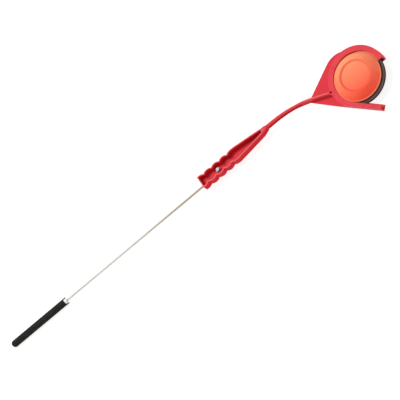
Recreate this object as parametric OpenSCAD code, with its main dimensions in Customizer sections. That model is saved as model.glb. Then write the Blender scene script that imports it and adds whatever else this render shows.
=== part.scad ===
// Hand-held clay target thrower, loaded with one clay target.
// +X runs along the rod and handle from the grip to the head, +Z is the side that the clay's dome faces.
// The origin is on the clay's axis, in the plane that the grip lies on.

/* [Clay target] */
// Widest diameter of the clay target, at its skirt
clay_d = 110; // [108:0.5:110]
// Height of the clay target
clay_h = 25.2; // [24:0.1:26]
// Wall thickness of the clay target
clay_wall = 3.6; // [3:0.1:4.5]

/* [Head] */
// Depth of the moulding, front plane to back plane
body_depth = 18; // [17:0.5:20]
// Outer diameter of the ring round the clay
ring_d = 124.6; // [124:0.2:130]
// Thickness of the front lip and the back flange
lip_t = 2; // [1.8:0.1:2.3]
// Distance from the clay's axis to the outer face of the throwing rail
rail_reach = 57.4; // [57:0.1:58.5]
// How far the rail runs on past the clay's axis
rail_run = 62.5; // [58:0.5:80]
// Thickness of the web plate at the back of the moulding
web_t = 3; // [2:0.5:4]
// Diameter of the hang hole at the end of the rib
hang_hole_d = 4.4; // [3.5:0.1:5]

/* [Neck] */
// Radius that the neck's centre line bends to
neck_bend_r = 215; // [205:1:225]
// Angle that the neck turns through
neck_turn = 24; // [22:0.5:26]
// Width of the neck where it leaves the handle
neck_w = 5.2; // [4.6:0.2:6]
// Depth of the neck in its free span
neck_depth = 12; // [9:0.5:14]

/* [Handle] */
// Length of the handle
handle_l = 164; // [158:1:170]
// Half width of the handle at its finger bumps
bump_half_w = 12.9; // [12.5:0.1:13.5]
// Depth of the finger notches between the bumps
notch_depth = 3.4; // [2.5:0.1:3.8]
// Distance between finger bumps
bump_pitch = 19.1; // [18.5:0.1:19.6]
// Wall thickness of the handle
handle_wall = 2.5; // [2:0.1:3]

/* [Rod and grip] */
// Diameter of the throwing rod
rod_d = 4.4; // [4:0.1:5]
// Length of rod seen between the grip and the handle
rod_free_l = 343; // [300:1:380]
// Length of the grip
grip_l = 137.5; // [120:0.5:150]
// Outer diameter of the grip
grip_d = 14; // [13.5:0.1:15]
// Outer diameter of the core inside the grip
core_d = 10.4; // [9.5:0.1:11]

/* [Hidden] */
$fn = 96;
eps = 0.01;

// Heights above the plane that the grip lies on
rod_z = grip_d / 2;
back_z = 10;
front_z = back_z + body_depth;
mid_z = back_z + body_depth / 2;
flange_top = back_z + lip_t;
lip_bottom = front_z - lip_t;
clay_z = flange_top + 0.4;

// Head, in plan
clay_r = clay_d / 2;
ring_r = ring_d / 2;
exit_angle = -46.3;
rail_wall = 2;
rail_face = rail_reach - rail_wall;
pocket_ease = 2.3;
pocket_r = rail_face + pocket_ease;
lip_r = 50;
lip_ease = 1.6;
seat_shift = 2.9;
rail_lip = 49.7;
rail_flange = 44.7;
root_angle = 88;
root_gap = 0.35;
tip_point = [51.3, -2.1];
tip_angle = -2;
fairing_c = [-16.5, 28.6];
fairing_r = 44.6;
apex = [-94, 31.6];
lower_apex = [-106.5, 30.9];
web_foot = [-38, -44.8];
far = 200;
// How far a cut runs on past the solid that it cuts
past = 1;

// Neck and handle, in plan
axis_y = 41.3;
neck_y = 43.9;
neck_start_x = -180;
neck_narrowing = 4.2;
neck_deep_x = -132;
neck_end = [neck_start_x + neck_bend_r * sin(neck_turn), neck_y - neck_bend_r * (1 - cos(neck_turn))];
rib_l = 37.5;
hang_hole = neck_end + rib_l * [cos(neck_turn), -sin(neck_turn)];
hang_boss_r = 5;
rib_w = 3.4;
handle_end_x = -362.6;
collar_l = 9;
collar_half_w = 3.1;
handle_tip_x = handle_end_x + handle_l;
first_bump = 4.9;
bump_count = 4;
bump_r = (pow(bump_pitch / 2, 2) + pow(notch_depth, 2)) / (2 * notch_depth);
shoulder_x = 82;
shoulder_r = 13.3;
tip_half_w = 5.2;
tip_rise = 0.8;
floor_t = 3;

// Screw joint between rod and handle
screw_x = handle_end_x + 41;
screw_d = 4;
screw_clearance = 0.1;
boss_r = 5.6;
boss_top = 20.5;
eye_r = 4.6;
eye_t = 2.6;
washer_r = 4.5;
washer_t = 0.8;
head_r = 4;
head_h = 2.6;
socket_af = 2.5;
nut_af = 7;
nut_h = 3.2;
screw_l = 20;
eye_top = rod_z + eye_t / 2;
eye_bottom = rod_z - eye_t / 2;
spine_half_w = 5.2;
spine_bottom = 3;
spine_l = screw_x - handle_end_x;
rod_slot_w = rod_d + 0.2;

// Rod and grip, along X
grip_mouth_x = handle_end_x - rod_free_l;
grip_end_x = grip_mouth_x - grip_l;
sleeve_end_wall = 5;
core_setback = 1.2;
rod_end_x = grip_end_x + sleeve_end_wall + 0.2;
push_nut_x = rod_end_x + 1;
push_nut_t = 0.8;
core_start_x = push_nut_x + push_nut_t;

red = [0.86, 0.16, 0.2];
steel = [0.8, 0.8, 0.78];

// A flat region, raised between two heights
module slab(bottom, top) {
    translate([0, 0, bottom]) linear_extrude(top - bottom) children();
}

// Everything beside the clay on its way out: a strip along the exit direction, up to a given reach
module exit_strip(reach) {
    rotate(exit_angle) translate([0, -reach]) square([far, far]);
}

// Where the clay sits and slides
module pocket_plan() {
    rotate(exit_angle) translate([0, pocket_ease]) circle(pocket_r);
    exit_strip(rail_face);
}

// Inner edge of the front lip and the back flange
module lip_hole() {
    translate([lip_ease, 0]) circle(lip_r);
}

// Outer edge of the fixed half of the seat: it meets the finger at its root, and thins out behind the clay
module seat_outline() {
    translate([seat_shift, 0]) circle(ring_r);
}

// The sector that belongs to the finger, moved back by a gap at its root
module finger_side(gap) {
    intersection() {
        rotate(root_angle) translate([-far / 2, -far - gap]) square([far, far]);
        translate([-ring_r / 4, -ring_r / 4]) square(far);
    }
}

// Half plane on the root's side of the finger's tip
module tip_side() {
    translate(tip_point) rotate(tip_angle) translate([-far / 2, 0]) square([far, far]);
}

module finger_plan() {
    intersection() {
        circle(ring_r);
        finger_side(root_gap);
        tip_side();
    }
}

// Everything on the exit side of the clay's axis
module exit_half() {
    rotate(exit_angle) translate([0, -far]) square([far, 2 * far]);
}

// Everything beyond the outer face of the rail
module beyond_rail() {
    rotate(exit_angle) translate([-far / 2, -far - rail_reach]) square([far, far]);
}

module web_plan() {
    difference() {
        hull() {
            polygon([apex, web_foot, lower_apex]);
            translate(fairing_c) circle(fairing_r);
        }
        seat_outline();
        beyond_rail();
        exit_half();
    }
}

module hang_boss_plan() {
    translate(hang_hole) circle(hang_boss_r);
}

// Fixed half of the seat: a channel that closes round the clay's rim
module seat_ring() {
    color(red) difference() {
        slab(back_z, front_z) difference() {
            seat_outline();
            lip_hole();
            beyond_rail();
            exit_half();
            finger_side(0);
        }
        slab(flange_top, lip_bottom) pocket_plan();
        slab(back_z - past, front_z + past) hang_boss_plan();
    }
}

// Plate between the seat, the rail and the neck, with the fairing that runs out to the finger's root
module head_web() {
    color(red) slab(back_z, back_z + web_t) difference() {
        web_plan();
        finger_side(0);
        hang_boss_plan();
    }
}

// Straight channel that guides the clay's rim on its way out
module throwing_rail() {
    color(red) difference() {
        slab(back_z, front_z) rotate(exit_angle) translate([0, -rail_reach])
            square([rail_run, rail_reach - rail_flange]);
        slab(flange_top, lip_bottom) pocket_plan();
        slab(flange_top, front_z + past) exit_strip(rail_lip);
        slab(back_z - past, front_z + past) lip_hole();
    }
}

// Round boss at the end of the rib, with the hang hole through it
module hang_boss() {
    color(red) difference() {
        slab(back_z, front_z) hang_boss_plan();
        slab(flange_top, lip_bottom) pocket_plan();
        translate([hang_hole.x, hang_hole.y, back_z - past])
            cylinder(d = hang_hole_d, h = body_depth + 2 * past);
    }
}

// Spring finger: the free half of the ring, which bends outwards as the clay passes
module spring_finger() {
    color(red) difference() {
        union() {
            slab(back_z, front_z) finger_plan();
            slab(back_z, back_z + web_t) intersection() {
                translate(fairing_c) circle(fairing_r);
                finger_side(root_gap);
                translate([0, lip_r]) square(ring_r);
            }
        }
        slab(flange_top, lip_bottom) rotate(exit_angle) translate([0, pocket_ease]) circle(pocket_r);
        slab(back_z - past, front_z + past) lip_hole();
    }
}

// Plan of the neck: straight out of the handle, then a bend that narrows towards the head
module neck_plan(w) {
    bend_c = [neck_start_x, neck_y - neck_bend_r];
    shift = [neck_narrowing / 2, 0];
    translate([handle_tip_x, neck_y - w / 2]) square([neck_start_x - handle_tip_x + eps, w]);
    intersection() {
        difference() {
            translate(bend_c - shift) circle(neck_bend_r + w / 2, $fn = 360);
            translate(bend_c + shift) circle(neck_bend_r - w / 2, $fn = 360);
        }
        polygon([bend_c, bend_c + [0, 2 * neck_bend_r],
                 bend_c + 2 * neck_bend_r * [sin(neck_turn), cos(neck_turn)]]);
    }
}

// Plan of the straight rib from the bend to the hang hole
module rib_plan(w) {
    translate(neck_end) rotate(-neck_turn) translate([-eps, -w / 2]) square([rib_l + eps, w]);
}

// Full-depth rib where the neck crosses the head
module neck_rib() {
    slab(back_z, front_z) difference() {
        rib_plan(rib_w);
        hang_boss_plan();
    }
}

// Side view of the neck: shallow in its free span, full depth where it meets the head
module neck_side() {
    shallow = neck_depth / 2;
    deep = body_depth / 2;
    translate([0, far / 2, mid_z]) rotate([90, 0, 0]) linear_extrude(far)
        polygon([[handle_tip_x, -shallow], [neck_deep_x, -shallow],
                 [lower_apex.x, -deep], [neck_end.x + 1, -deep],
                 [neck_end.x + 1, deep], [lower_apex.x, deep],
                 [neck_deep_x, shallow], [handle_tip_x, shallow]]);
}

// The neck up to the rib, without its side pockets
module neck_run() {
    intersection() {
        slab(back_z, front_z) neck_plan(neck_w);
        neck_side();
    }
}

module neck_arm() {
    side_pocket = 1.4;
    flange_t = 2.5;
    pocket_l = 76;
    color(red) difference() {
        union() {
            neck_run();
            neck_rib();
        }
        slab(mid_z - neck_depth / 2 + flange_t, mid_z + neck_depth / 2 - flange_t) difference() {
            translate([handle_tip_x + 5, 0]) square([pocket_l, far]);
            neck_plan(neck_w - 2 * side_pocket);
        }
        slab(back_z, back_z + web_t) web_plan();
    }
}

// The handle's outline, pulled in by an inset, with X measured from its end
module handle_plan(inset) {
    half_w = bump_half_w - inset;
    tip_x = handle_l - collar_l - inset;
    tip_r = tip_half_w - inset;
    shoulder = shoulder_r - inset;
    translate([inset, -half_w]) square([first_bump - inset, 2 * half_w]);
    translate([inset, notch_depth - half_w]) square([shoulder_x - inset, 2 * (half_w - notch_depth)]);
    for (i = [0 : bump_count], side = [-1, 1])
        intersection() {
            translate([first_bump + i * bump_pitch, side * (bump_half_w - bump_r)]) circle(bump_r - inset);
            translate([first_bump + (i - 0.5) * bump_pitch, side > 0 ? 0 : -far]) square([bump_pitch, far]);
            translate([inset, -far]) square([far, 2 * far]);
        }
    polygon([[shoulder_x, -shoulder], [shoulder_x + 9, 0.8 - shoulder],
             [tip_x - tip_r / 2, tip_rise - tip_r], [tip_x - tip_r / 2, tip_rise + tip_r],
             [shoulder_x + 9, shoulder - 0.4], [shoulder_x, shoulder]]);
    intersection() {
        translate([tip_x - tip_r, tip_rise]) circle(tip_r);
        translate([tip_x - tip_r, tip_rise - tip_r]) square(2 * tip_r);
    }
}

// Taper from the handle's tip down to the neck
module collar_plan() {
    start_x = handle_l - collar_l - tip_half_w / 2;
    rise = neck_y - axis_y;
    polygon([[start_x, tip_rise - tip_half_w], [handle_l, rise - collar_half_w],
             [handle_l, rise + collar_half_w], [start_x, tip_rise + tip_half_w]]);
}

// Open-backed channel that holds the rod, with a round end for its eye
module rod_spine() {
    eye_wall = 2.4;
    eye_room = 0.4;
    rod_room = 0.1;
    flat_room_l = 9;
    cut_z = spine_bottom - past;
    difference() {
        union() {
            translate([0, -spine_half_w, spine_bottom])
                cube([spine_l, 2 * spine_half_w, back_z - spine_bottom]);
            translate([spine_l, 0, spine_bottom]) cylinder(r = eye_r + eye_wall, h = back_z - spine_bottom);
        }
        translate([-past, -rod_slot_w / 2, cut_z])
            cube([spine_l + past, rod_slot_w, rod_z + rod_d / 2 + rod_room - cut_z]);
        translate([spine_l - flat_room_l, -rod_slot_w / 2 - 1, cut_z])
            cube([flat_room_l, rod_slot_w + 2, eye_top - cut_z]);
        translate([spine_l, 0, cut_z]) cylinder(r = eye_r + eye_room, h = eye_top - cut_z);
    }
}

module handle_shell() {
    color(red) translate([handle_end_x, axis_y, 0]) difference() {
        union() {
            difference() {
                slab(back_z, front_z) handle_plan(0);
                slab(back_z + floor_t, front_z + past) handle_plan(handle_wall);
            }
            rod_spine();
            translate([spine_l, 0, back_z]) cylinder(r = boss_r, h = boss_top - back_z);
            slab(back_z + 1, front_z - 1) collar_plan();
        }
        translate([spine_l, 0, spine_bottom]) cylinder(d = screw_d + 2 * screw_clearance, h = front_z);
    }
}

// Steel rod with a flattened eye for the clamp screw
module throwing_rod() {
    flat_l = 12;
    blade_x = screw_x - eye_r - 2;
    color(steel) difference() {
        union() {
            translate([rod_end_x, axis_y, rod_z]) rotate([0, 90, 0])
                cylinder(d = rod_d, h = screw_x - flat_l - rod_end_x);
            hull() {
                translate([screw_x - flat_l - 1, axis_y, rod_z]) rotate([0, 90, 0])
                    cylinder(d = rod_d, h = 1, $fn = 32);
                translate([blade_x, axis_y - rod_d / 2, eye_bottom]) cube([1, rod_d, eye_t]);
            }
            translate([blade_x, axis_y - rod_d / 2, eye_bottom]) cube([eye_r, rod_d, eye_t]);
            translate([screw_x, axis_y, eye_bottom]) cylinder(r = eye_r, h = eye_t);
        }
        translate([screw_x, axis_y, eye_bottom - past])
            cylinder(d = screw_d + 2 * screw_clearance, h = eye_t + 2 * past);
    }
}

// Pan head screw with a hexagon socket
module clamp_screw() {
    socket_depth = 1.5;
    crown_r = head_r - 1.3;
    color(steel) translate([screw_x, axis_y, boss_top + washer_t]) difference() {
        union() {
            translate([0, 0, -screw_l]) cylinder(d = screw_d, h = screw_l + eps);
            rotate_extrude()
                polygon([[0, 0], [head_r, 0], [head_r, head_h - 1], [head_r - 0.5, head_h - 0.35],
                         [crown_r, head_h], [0, head_h]]);
        }
        translate([0, 0, head_h - socket_depth]) cylinder(r = socket_af / sqrt(3), h = 2, $fn = 6);
    }
}

module washer(bottom) {
    color(steel) translate([screw_x, axis_y, bottom]) difference() {
        cylinder(r = washer_r, h = washer_t);
        translate([0, 0, -past]) cylinder(d = screw_d + 2 * screw_clearance, h = washer_t + 2 * past);
    }
}

module screw_washer() {
    washer(boss_top);
}

module nut_washer() {
    washer(eye_bottom - washer_t);
}

module lock_nut() {
    color(steel) translate([screw_x, axis_y, eye_bottom - washer_t - nut_h]) difference() {
        cylinder(r = nut_af / sqrt(3), h = nut_h, $fn = 6);
        translate([0, 0, -past]) cylinder(d = screw_d, h = nut_h + 2 * past);
    }
}

// Plastic core that fills the gap between the rod and the grip sleeve
module grip_core() {
    color("white") translate([core_start_x, axis_y, rod_z]) rotate([0, 90, 0]) difference() {
        cylinder(d = core_d, h = grip_mouth_x - core_setback - core_start_x);
        translate([0, 0, -1]) cylinder(d = rod_d, h = grip_l);
    }
}

// Soft sleeve with a round closed end
module grip_sleeve() {
    color([0.2, 0.2, 0.18]) translate([grip_end_x, axis_y, rod_z]) rotate([0, 90, 0]) difference() {
        union() {
            translate([0, 0, grip_d / 2]) sphere(d = grip_d);
            translate([0, 0, grip_d / 2]) cylinder(d = grip_d, h = grip_l - grip_d / 2);
        }
        translate([0, 0, sleeve_end_wall]) cylinder(d = core_d, h = grip_l);
    }
}

// Pressed ring on the end of the rod that holds the core on
module rod_push_nut() {
    color(steel) translate([push_nut_x, axis_y, rod_z]) rotate([0, 90, 0]) difference() {
        cylinder(d = core_d - 0.6, h = push_nut_t);
        translate([0, 0, -past]) cylinder(d = rod_d, h = push_nut_t + 2 * past);
    }
}

// Hollow clay saucer: banded skirt, ledge, dome and a sunk centre
module clay_target() {
    foot_r = clay_r - 2.2;
    ledge_r = clay_r - 5.2;
    dome_r = clay_r - 6;
    crest_r = 33;
    sunk_r = 29.5;
    sunk = 2.2;
    under = clay_h - sunk - clay_wall;
    color([0.95, 0.4, 0.28]) translate([0, 0, clay_z]) rotate_extrude($fn = 180) polygon([
        [0, under], [crest_r - 3, under], [dome_r - 6, 12], [clay_r - clay_wall - 1, 7],
        [foot_r - clay_wall, 0], [foot_r, 0], [clay_r - 1.6, 2.6], [clay_r, 3.6], [clay_r, 8.4],
        [clay_r - 1.2, 9.6], [ledge_r, 10.8], [dome_r + 0.2, 11.1], [dome_r, 12.3], [dome_r - 1.2, 13.3],
        [dome_r - 4, 15.8], [dome_r - 10.2, 20.8], [crest_r + 1.5, clay_h - 1.2], [crest_r, clay_h],
        [crest_r - 1, clay_h], [sunk_r, clay_h - sunk], [0, clay_h - sunk]]);
}

seat_ring();
head_web();
throwing_rail();
hang_boss();
spring_finger();
neck_arm();
handle_shell();
throwing_rod();
clamp_screw();
screw_washer();
nut_washer();
lock_nut();
grip_core();
grip_sleeve();
rod_push_nut();
clay_target();
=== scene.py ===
"""Clay target thrower, loaded with one clay target: the looks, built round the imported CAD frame. Metres."""
import math

import bmesh
import bpy
from mathutils import Matrix, Vector


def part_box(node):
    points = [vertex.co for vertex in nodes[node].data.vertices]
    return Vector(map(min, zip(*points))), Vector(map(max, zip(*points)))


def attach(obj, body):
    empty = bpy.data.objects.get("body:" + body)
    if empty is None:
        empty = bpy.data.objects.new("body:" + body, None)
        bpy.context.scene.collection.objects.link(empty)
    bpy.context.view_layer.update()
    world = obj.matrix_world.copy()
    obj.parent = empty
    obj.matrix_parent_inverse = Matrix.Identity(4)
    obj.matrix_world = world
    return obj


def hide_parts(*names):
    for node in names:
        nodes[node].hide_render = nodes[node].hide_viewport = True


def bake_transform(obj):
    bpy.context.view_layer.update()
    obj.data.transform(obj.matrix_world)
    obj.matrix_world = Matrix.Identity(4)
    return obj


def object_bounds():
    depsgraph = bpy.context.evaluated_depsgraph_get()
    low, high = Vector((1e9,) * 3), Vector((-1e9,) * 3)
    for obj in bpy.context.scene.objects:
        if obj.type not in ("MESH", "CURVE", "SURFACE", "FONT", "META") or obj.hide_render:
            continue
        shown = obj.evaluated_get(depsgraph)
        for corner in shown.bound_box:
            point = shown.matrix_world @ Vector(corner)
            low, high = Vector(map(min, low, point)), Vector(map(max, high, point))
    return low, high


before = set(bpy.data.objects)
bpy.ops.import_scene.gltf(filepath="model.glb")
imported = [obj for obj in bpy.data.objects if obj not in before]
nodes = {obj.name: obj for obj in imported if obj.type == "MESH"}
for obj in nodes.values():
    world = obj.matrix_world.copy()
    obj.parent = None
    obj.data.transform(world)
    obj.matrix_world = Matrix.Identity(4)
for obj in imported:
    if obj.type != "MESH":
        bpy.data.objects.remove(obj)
cad_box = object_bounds()
scene = bpy.context.scene
MM = 0.001


# ---- Mesh helpers ----


def link(name, mesh):
    """An object for a mesh, linked to the scene."""
    obj = bpy.data.objects.new(name, mesh)
    scene.collection.objects.link(obj)
    return obj


def lathe(name, profile, steps, place):
    """A surface of revolution about Z from (radius, height) points, put in place by a matrix."""
    bm = bmesh.new()
    turns = [2 * math.pi * k / steps for k in range(steps)]
    rings = []
    for r, h in profile:
        on_axis = r < 1e-7
        circle = [(0, 0, h)] if on_axis else [(r * math.cos(t), r * math.sin(t), h) for t in turns]
        rings.append([bm.verts.new(point) for point in circle])
    for a, b in zip(rings, rings[1:]):
        for k in range(steps):
            n = (k + 1) % steps
            if len(a) == 1:
                bm.faces.new((a[0], b[n], b[k]))
            elif len(b) == 1:
                bm.faces.new((a[k], a[n], b[0]))
            else:
                bm.faces.new((a[k], a[n], b[n], b[k]))
    bmesh.ops.recalc_face_normals(bm, faces=bm.faces)
    bm.transform(place)
    mesh = bpy.data.meshes.new(name)
    bm.to_mesh(mesh)
    bm.free()
    mesh.shade_smooth()
    return link(name, mesh)


def rounded(points, radius, steps=4):
    """A profile with each of its corners rounded off, by less where its sides are short."""
    out = [points[0]]
    for a, b, c in zip(points, points[1:], points[2:]):
        a, b, c = Vector(a), Vector(b), Vector(c)
        cut = min(radius, 0.45 * (a - b).length, 0.45 * (c - b).length)
        p, q = b + (a - b).normalized() * cut, b + (c - b).normalized() * cut
        for k in range(steps + 1):
            t = k / steps
            out.append(tuple(p * (1 - t) ** 2 + b * 2 * t * (1 - t) + q * t ** 2))
    out.append(points[-1])
    return out


# ---- Node material helpers ----


class Shader:
    """A Principled material with a few short calls for building its node tree."""

    def __init__(self, name, roughness, metallic=0.0, specular=0.5):
        self.material = bpy.data.materials.new(name)
        self.material.use_nodes = True
        self.tree = self.material.node_tree
        self.out = self.tree.nodes["Principled BSDF"]
        self.out.inputs["Roughness"].default_value = roughness
        self.out.inputs["Metallic"].default_value = metallic
        self.out.inputs["Specular IOR Level"].default_value = specular
        coordinates = self.add("ShaderNodeTexCoord")
        self.place = coordinates.outputs["Object"]
        self.normal = coordinates.outputs["Normal"]

    def add(self, kind, **settings):
        node = self.tree.nodes.new(kind)
        for key, value in settings.items():
            setattr(node, key, value)
        return node

    def join(self, source, target):
        self.tree.links.new(source, target)

    def stretched(self, scale):
        """Object coordinates scaled by a vector, for streaks."""
        node = self.add("ShaderNodeVectorMath", operation="MULTIPLY")
        self.join(self.place, node.inputs[0])
        node.inputs[1].default_value = scale
        return node.outputs[0]

    def noise(self, scale, detail=3.0, rough=0.55, where=None):
        node = self.add("ShaderNodeTexNoise")
        node.inputs["Scale"].default_value = scale
        node.inputs["Detail"].default_value = detail
        node.inputs["Roughness"].default_value = rough
        self.join(where or self.place, node.inputs["Vector"])
        return node.outputs["Fac"]

    def mix(self, fac, a, b):
        """Colour a where fac is 0, b where it is 1."""
        node = self.add("ShaderNodeMix", data_type="RGBA")
        for value, at in ((fac, 0), (a, 6), (b, 7)):
            if isinstance(value, bpy.types.NodeSocket):
                self.join(value, node.inputs[at])
            else:
                node.inputs[at].default_value = value if at == 0 else (*value, 1)
        return node.outputs[2]

    def span(self, value, low, high, to_low=0.0, to_high=1.0):
        """A value taken from one range to another, and held at its ends."""
        node = self.add("ShaderNodeMapRange")
        for i, v in enumerate((low, high, to_low, to_high), 1):
            node.inputs[i].default_value = v
        self.join(value, node.inputs[0])
        return node.outputs[0]

    def band(self, value, low, low_full, high_full, high):
        """1 between the two full marks, and fading to 0 at the outer ones."""
        rise = self.span(value, low, low_full)
        fall = self.span(value, high_full, high, 1.0, 0.0)
        return self.maths("MULTIPLY", rise, fall)

    def maths(self, operation, a, b):
        node = self.add("ShaderNodeMath", operation=operation)
        for i, v in enumerate((a, b)):
            if isinstance(v, bpy.types.NodeSocket):
                self.join(v, node.inputs[i])
            else:
                node.inputs[i].default_value = v
        return node.outputs[0]

    def colour(self, socket):
        self.join(socket, self.out.inputs["Base Color"])

    def rough(self, socket):
        self.join(socket, self.out.inputs["Roughness"])

    def bump(self, *layers):
        """Bumps from (height socket, depth in metres, share) layers, one on top of the other."""
        normal = None
        for height, depth, share in layers:
            node = self.add("ShaderNodeBump")
            node.inputs["Distance"].default_value = depth
            node.inputs["Strength"].default_value = share
            self.join(height, node.inputs["Height"])
            if normal:
                self.join(normal, node.inputs["Normal"])
            normal = node.outputs["Normal"]
        self.join(normal, self.out.inputs["Normal"])

    def axis(self, index, source=None):
        """X, Y or Z of the object coordinates, or of another vector."""
        node = self.add("ShaderNodeSeparateXYZ")
        self.join(source or self.place, node.inputs[0])
        return node.outputs[index]


def dress(obj, shader):
    """Gives an object one material, in every slot it has."""
    if not obj.data.materials:
        obj.data.materials.append(shader.material)
    for place in obj.material_slots:
        place.link = "OBJECT"
        place.material = shader.material


# ---- Materials ----


def red_plastic():
    """The red moulding. Its head and all upward faces are paler than the other walls, as painted light from
    above, and the walls' darker red is painted shade. Its front faces are paler again, with the faces lower
    down in painted shade, and the front edges behind the head carry a painted highlight."""
    s = Shader("red_plastic", 0.4, specular=0.02)
    front_from, front_full = 0.0225, 0.0275
    edge_from, edge_full = 0.0268, 0.0276
    head_from, head_full = -0.11, -0.07
    highlight_to, highlight_none = -0.066, -0.062
    height, along = s.axis(2), s.axis(0)
    cloud = s.noise(38, 3)
    patches = s.span(cloud, 0.35, 0.65)
    flow = s.noise(60, 4, 0.6, s.stretched((0.35, 1.0, 1.0)))

    # Painted light and shade: the walls' darker red is painted shade, and upward faces and the head are
    # painted paler, as lit from above.
    walls = s.mix(patches, (0.62, 0.014, 0.023), (0.69, 0.019, 0.03))
    upward = s.span(s.axis(2, s.normal), 0.6, 0.9)
    paler = s.maths("MAXIMUM", upward, s.span(along, head_from, head_full))
    base = s.mix(paler, walls, (0.69, 0.047, 0.061))
    worn = s.mix(s.span(flow, 0.5, 0.72, 0.0, 0.5), base, (0.74, 0.05, 0.066))
    # Painted shade by height: the front faces at the top are paler, and everything lower down is darker, as
    # in shade.
    front = s.mix(patches, (0.72, 0.056, 0.074), (0.78, 0.068, 0.09))
    tone = s.mix(s.span(height, front_from, front_full), worn, front)
    # Painted highlight: a pale streak along the top edges of the rib, neck and handle behind the head.
    edges = s.span(height, edge_from, edge_full)
    painted_edge_highlight = s.maths("MULTIPLY", edges, s.span(along, highlight_to, highlight_none, 0.3, 0.0))
    s.colour(s.mix(painted_edge_highlight, tone, (0.95, 0.26, 0.26)))

    s.rough(s.span(s.noise(220, 3), 0.3, 0.7, 0.3, 0.42))
    s.bump((s.noise(1500, 2), 0.00003, 0.25), (flow, 0.0006, 0.08))
    s.out.inputs["Subsurface Weight"].default_value = 0.06
    s.out.inputs["Subsurface Radius"].default_value = (0.004, 0.001, 0.001)
    s.out.inputs["Subsurface Scale"].default_value = 1.0
    return s


def clay_paint():
    """Orange paint on the outside of the dome, with an uneven edge, over the bare dark pitch. Towards +Y the
    paint runs lower down. The orange is painted lighter towards +Y and deeper towards -Y as painted light and
    shade, the sunk step is in painted shade, the outer rim carries a painted highlight and the skirt a
    painted highlight band."""
    s = Shader("clay_paint", 0.62, specular=0.15)
    low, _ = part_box("clay_target")
    paint_from, paint_full = low.z + 0.0117, low.z + 0.0124
    skirt_highlight_band = [low.z + up for up in (0.0076, 0.0084, 0.0099, 0.0103)]
    step_shade_band = (0.0275, 0.0288, 0.0318, 0.033)
    rim_highlight_from, rim_highlight_full = 0.0462, 0.0472
    height, aside = s.axis(2), s.axis(1)
    length = s.add("ShaderNodeVectorMath", operation="LENGTH")
    s.join(s.stretched((1, 1, 0)), length.inputs[0])
    radius = length.outputs["Value"]

    ragged = s.maths("ADD", height, s.span(s.noise(420, 3), 0.3, 0.7, -0.0006, 0.0006))
    edge = s.maths("ADD", ragged, s.span(aside, -0.008, 0.018, 0.0, 0.0045))
    outside = s.span(s.axis(2, s.normal), -0.3, -0.1)
    painted = s.maths("MULTIPLY", outside, s.span(edge, paint_from, paint_full))

    dust = s.noise(160, 4, 0.65)
    patches = s.span(dust, 0.35, 0.7)
    # Painted light and shade: a shaded orange towards -Y and a lit orange towards +Y, lighter again at the
    # top.
    shaded_orange = s.mix(patches, (0.94, 0.048, 0.026), (0.98, 0.068, 0.037))
    light = s.mix(patches, (0.98, 0.225, 0.11), (1.0, 0.275, 0.135))
    orange = s.mix(s.span(aside, -0.05, 0.012), shaded_orange, light)
    orange = s.mix(s.span(aside, 0.014, 0.042), orange, (1.0, 0.37, 0.17))
    flecks = s.span(s.noise(1500, 2), 0.66, 0.72, 0.0, 0.35)
    orange = s.mix(flecks, orange, (0.97, 0.3, 0.17))
    # Painted shade in the sunk step ring.
    painted_step_shade = s.maths("MULTIPLY", s.band(radius, *step_shade_band), 0.5)
    orange = s.mix(painted_step_shade, orange, (0.96, 0.09, 0.045))
    # Painted highlight: a lighter orange line along the outer rim of the dome.
    orange = s.mix(s.span(radius, rim_highlight_from, rim_highlight_full, 0.0, 0.8), orange, (0.98, 0.26, 0.13))

    grime = s.span(s.noise(300, 4, 0.7), 0.35, 0.7)
    # The paler band halfway up the pitch skirt is a painted highlight.
    skirt_highlight = s.mix(grime, (0.1, 0.066, 0.058), (0.14, 0.1, 0.09))
    dark = s.mix(grime, (0.03, 0.013, 0.01), (0.055, 0.022, 0.018))
    pitch = s.mix(s.band(height, *skirt_highlight_band), dark, skirt_highlight)
    s.colour(s.mix(painted, pitch, orange))

    s.rough(s.span(dust, 0.3, 0.7, 0.5, 0.72))
    s.bump((s.noise(1900, 3, 0.6), 0.0002, 0.35), (s.noise(420, 2), 0.0004, 0.12))
    return s


def drawn_steel(name, tint, roughness, metallic, handle_tint=None):
    """Plated steel with fine streaks. With a handle tint, the colour changes to it along X."""
    s = Shader(name, roughness, metallic=metallic)
    change_from, change_full = -0.56, -0.42
    streak = s.noise(900, 3, 0.6, s.stretched((0.03, 1.0, 1.0)))
    dull = s.noise(90, 4, 0.6)
    colour = s.mix(s.span(dull, 0.3, 0.7), tint, tuple(0.9 * c for c in tint))
    if handle_tint:
        colour = s.mix(s.span(s.axis(0), change_from, change_full), colour, handle_tint)
    s.colour(colour)
    s.rough(s.span(streak, 0.3, 0.7, roughness - 0.07, roughness + 0.1))
    s.bump((streak, 0.00003, 0.2))
    return s


def grip_rubber():
    """Black foam rubber, mottled, with fine pores."""
    s = Shader("grip_rubber", 0.72, specular=0.15)
    cloud = s.noise(170, 5, 0.65)
    s.colour(s.mix(s.span(cloud, 0.35, 0.65), (0.008, 0.0075, 0.006), (0.023, 0.021, 0.016)))
    s.rough(s.span(cloud, 0.3, 0.7, 0.62, 0.8))
    s.bump((s.noise(1700, 3, 0.7), 0.0003, 0.45), (s.noise(240, 2), 0.0005, 0.1))
    return s


def white_plastic():
    """The white core that shows in the grip's mouth."""
    s = Shader("white_plastic", 0.5, specular=0.4)
    cloud = s.noise(300, 3)
    s.colour(s.mix(s.span(cloud, 0.3, 0.7), (0.8, 0.8, 0.78), (0.88, 0.88, 0.86)))
    s.rough(s.span(cloud, 0.3, 0.7, 0.42, 0.58))
    s.bump((s.noise(1500, 2), 0.0001, 0.3))
    return s


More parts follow.
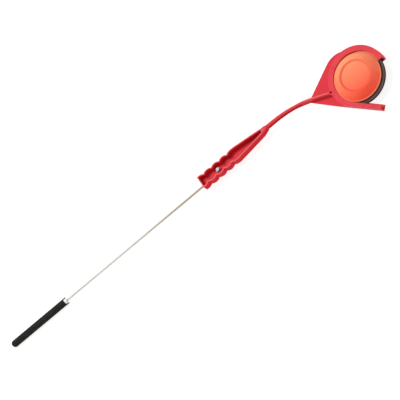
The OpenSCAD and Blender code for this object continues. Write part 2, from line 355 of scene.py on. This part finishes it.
red = red_plastic()
clay = clay_paint()
rod_steel = drawn_steel("rod_steel", (0.68, 0.68, 0.6), 0.6, 0.2, (0.46, 0.39, 0.29))
zinc = drawn_steel("zinc_plate", (0.36, 0.38, 0.42), 0.48, 0.7)
rubber = grip_rubber()
white = white_plastic()


# ---- The red moulding: head, sprung finger, neck and handle, one moulding with soft edges ----

VOXEL = 0.5          # millimetres
WELD = 1e-4          # millimetres
SOFT_PASSES = 5
KEPT_FACES = 0.3     # share of the fused skin's faces that is kept
ROOT_LAP = math.radians(1.0)
MOULDING_NODES = (
    "seat_ring", "head_web", "throwing_rail", "hang_boss", "neck_arm", "handle_shell", "spring_finger")


def moulding():
    """The red CAD solids fused into one skin. A second copy of the finger, turned back a little, fills the
    gap that the CAD leaves at its root."""
    bm = bmesh.new()
    for name in MOULDING_NODES:
        bm.from_mesh(nodes[name].data)
    lap = bmesh.new()
    lap.from_mesh(nodes["spring_finger"].data)
    lap.transform(Matrix.Rotation(ROOT_LAP, 4, "Z"))
    spare = bpy.data.meshes.new("lap")
    lap.to_mesh(spare)
    lap.free()
    bm.from_mesh(spare)
    bpy.data.meshes.remove(spare)
    bm.transform(Matrix.Scale(1 / MM, 4))
    bmesh.ops.remove_doubles(bm, verts=bm.verts, dist=WELD)
    mesh = bpy.data.meshes.new("moulding_raw")
    bm.to_mesh(mesh)
    bm.free()
    raw = link("moulding_raw", mesh)
    fuse = raw.modifiers.new("fuse", "REMESH")
    fuse.mode = "VOXEL"
    fuse.voxel_size = VOXEL
    soften = raw.modifiers.new("soften", "SMOOTH")
    soften.factor = 0.5
    soften.iterations = SOFT_PASSES
    thin = raw.modifiers.new("thin", "DECIMATE")
    thin.ratio = KEPT_FACES
    done = bpy.data.meshes.new_from_object(raw.evaluated_get(bpy.context.evaluated_depsgraph_get()))
    bpy.data.objects.remove(raw)
    done.transform(Matrix.Scale(MM, 4))
    done.shade_smooth()
    done.materials.clear()
    skin = link("thrower_moulding", done)
    flats = skin.modifiers.new("flat_faces", "WEIGHTED_NORMAL")
    flats.weight = 80
    return skin


body = moulding()
dress(body, red)
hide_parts(*MOULDING_NODES)
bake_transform(body)


# ---- Clay target ----

# (radius, height) in millimetres: the hollow under the dome, the skirt, then up the dome to its sunk middle
CLAY_PROFILE = [
    (0, 19.4), (29, 19.4), (31.5, 18.7), (43, 12), (50.4, 7), (50.6, 0.4),
    (51, 0), (52.8, 0), (53.4, 2.6), (55, 3.6), (55, 6.4), (54.2, 6.8), (54.2, 7.5), (54.8, 8.0),
    (53.6, 9.4), (50.6, 10.4), (48.6, 10.9), (49, 12.6), (48.6, 13.2), (47.2, 14), (44.6, 16.2),
    (38.8, 20.8), (34.5, 24), (32.9, 25.2), (31.6, 25.1), (28.6, 22.8), (27.6, 22.4), (0, 22.4)]
CLAY_CORNER = 0.9    # millimetres
CLAY_STEPS = 256

clay_low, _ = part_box("clay_target")
clay_outline = [(r * MM, h * MM) for r, h in rounded(CLAY_PROFILE, CLAY_CORNER)]
clay_piece = lathe("clay_disc", clay_outline, CLAY_STEPS, Matrix.Translation((0, 0, clay_low.z)))
dress(clay_piece, clay)
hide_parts("clay_target")
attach(clay_piece, "target")


# ---- Grip ----

END_STEPS = 14
GRIP_STEPS = 96
MOUTH_CORNER = 0.0008
MOUTH_DEPTH = 0.012
NOTCH_REACH = 0.015  # length of the mouth's end that the notches pull back
NOTCH_DEPTH = 0.0062
BACK_DEPTH = 0.002   # depth of the second notch, opposite the first
NOTCH_SLOPE = 2.2    # how steeply the notches' sides rise
NOTCH_WAY = Vector((0, -0.454, 0.875)).normalized()

sleeve_low, sleeve_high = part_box("grip_sleeve")
sleeve_r = (sleeve_high.y - sleeve_low.y) / 2
sleeve_l = sleeve_high.x - sleeve_low.x
core_low, core_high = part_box("grip_core")
core_r = (core_high.y - core_low.y) / 2
grip_axis = Vector((0, (sleeve_low.y + sleeve_high.y) / 2, (sleeve_low.z + sleeve_high.z) / 2))
grip_start = Matrix.Translation((sleeve_low.x, grip_axis.y, grip_axis.z))

end_turns = [math.pi / 2 * k / END_STEPS for k in range(END_STEPS + 1)]
end_round = [(sleeve_r * math.sin(a), sleeve_r * (1 - math.cos(a))) for a in end_turns]
mouth_corners = [
    (sleeve_r, sleeve_r), (sleeve_r, sleeve_l), (core_r, sleeve_l), (core_r, sleeve_l - MOUTH_DEPTH)]
grip_outline = end_round + rounded(mouth_corners, MOUTH_CORNER)[1:]
grip = lathe("grip_sleeve_soft", grip_outline, GRIP_STEPS, grip_start @ Matrix.Rotation(math.pi / 2, 4, "Y"))
for v in grip.data.vertices:
    if v.co.x > sleeve_high.x - NOTCH_REACH:
        facing = (Vector((0, v.co.y, v.co.z)) - grip_axis).normalized().dot(NOTCH_WAY)
        depth = NOTCH_DEPTH if facing > 0 else BACK_DEPTH
        v.co.x -= depth * min(1, NOTCH_SLOPE * abs(facing))
dress(grip, rubber)
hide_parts("grip_sleeve")
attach(grip, "thrower")


# ---- CAD nodes that stay ----

STAYING = {"throwing_rod": rod_steel, "clamp_screw": zinc, "screw_washer": zinc, "nut_washer": zinc,
           "lock_nut": zinc, "rod_push_nut": zinc, "grip_core": white}
SOFT_EDGE = 0.00015

for name, shader in STAYING.items():
    dress(nodes[name], shader)
    bevel = nodes[name].modifiers.new("soft_edges", "BEVEL")
    bevel.width = SOFT_EDGE
    bevel.segments = 2
    bevel.limit_method = "ANGLE"
    bevel.angle_limit = math.radians(40)


# ---- Floor ----

HALF_FLOOR = 6
FLOOR_GAP = 0.0002

corners = [(x * HALF_FLOOR, y * HALF_FLOOR, 0) for x, y in ((-1, -1), (1, -1), (1, 1), (-1, 1))]
floor_mesh = bpy.data.meshes.new("floor")
floor_mesh.from_pydata(corners, [], [(0, 1, 2, 3)])
floor = link("floor", floor_mesh)
floor.location.z = cad_box[0].z - FLOOR_GAP
paper = Shader("floor_paper", 0.9, specular=0.1)
paper.out.inputs["Base Color"].default_value = (0.3, 0.3, 0.3, 1)
paper.out.inputs["Emission Color"].default_value = (1, 1, 1, 1)
paper.out.inputs["Emission Strength"].default_value = 0.85
floor.data.materials.append(paper.material)


# ---- Camera: a long lens from far away, for a nearly parallel view ----

DISTANCE = 33.544
look_at = Vector((-0.3843, 0.0186, 0.0162))
towards_camera = Vector((0.170, -0.454, 0.875)).normalized()
sideways = Vector((0.756, -0.5095, -0.411))
camera_right = (sideways - sideways.project(towards_camera)).normalized()
camera_up = towards_camera.cross(camera_right)
camera_turn = Matrix((camera_right, camera_up, towards_camera)).transposed().to_4x4()

camera = bpy.data.objects.new("camera", bpy.data.cameras.new("camera"))
scene.collection.objects.link(camera)
camera.data.lens = 1600
camera.data.sensor_width = 36
camera.data.clip_end = 60
camera.matrix_world = Matrix.Translation(look_at + towards_camera * DISTANCE) @ camera_turn
scene.camera = camera


# ---- Light ----


def soft_light(name, direction, distance, size, energy):
    """A round white area light that shines on the point the camera looks at."""
    lamp = bpy.data.lights.new(name, "AREA")
    lamp.shape = "DISK"
    lamp.size = size
    lamp.energy = energy
    obj = bpy.data.objects.new(name, lamp)
    way = Vector(direction).normalized()
    obj.location = look_at + way * distance
    obj.rotation_mode = "QUATERNION"
    obj.rotation_quaternion = (-way).to_track_quat("-Z", "Y")
    scene.collection.objects.link(obj)


soft_light("key_light", (-0.16, 0.3, 0.94), distance=2.6, size=0.9, energy=47)
soft_light("fill_light", (0.45, -0.85, 0.36), distance=3.2, size=1.6, energy=3.5)

world = bpy.data.worlds.new("studio")
scene.world = world
world.use_nodes = True
sky = world.node_tree.nodes["Background"]
sky.inputs["Color"].default_value = (1, 1, 1, 1)
sky.inputs["Strength"].default_value = 0.45
scene.view_settings.view_transform = "Standard"
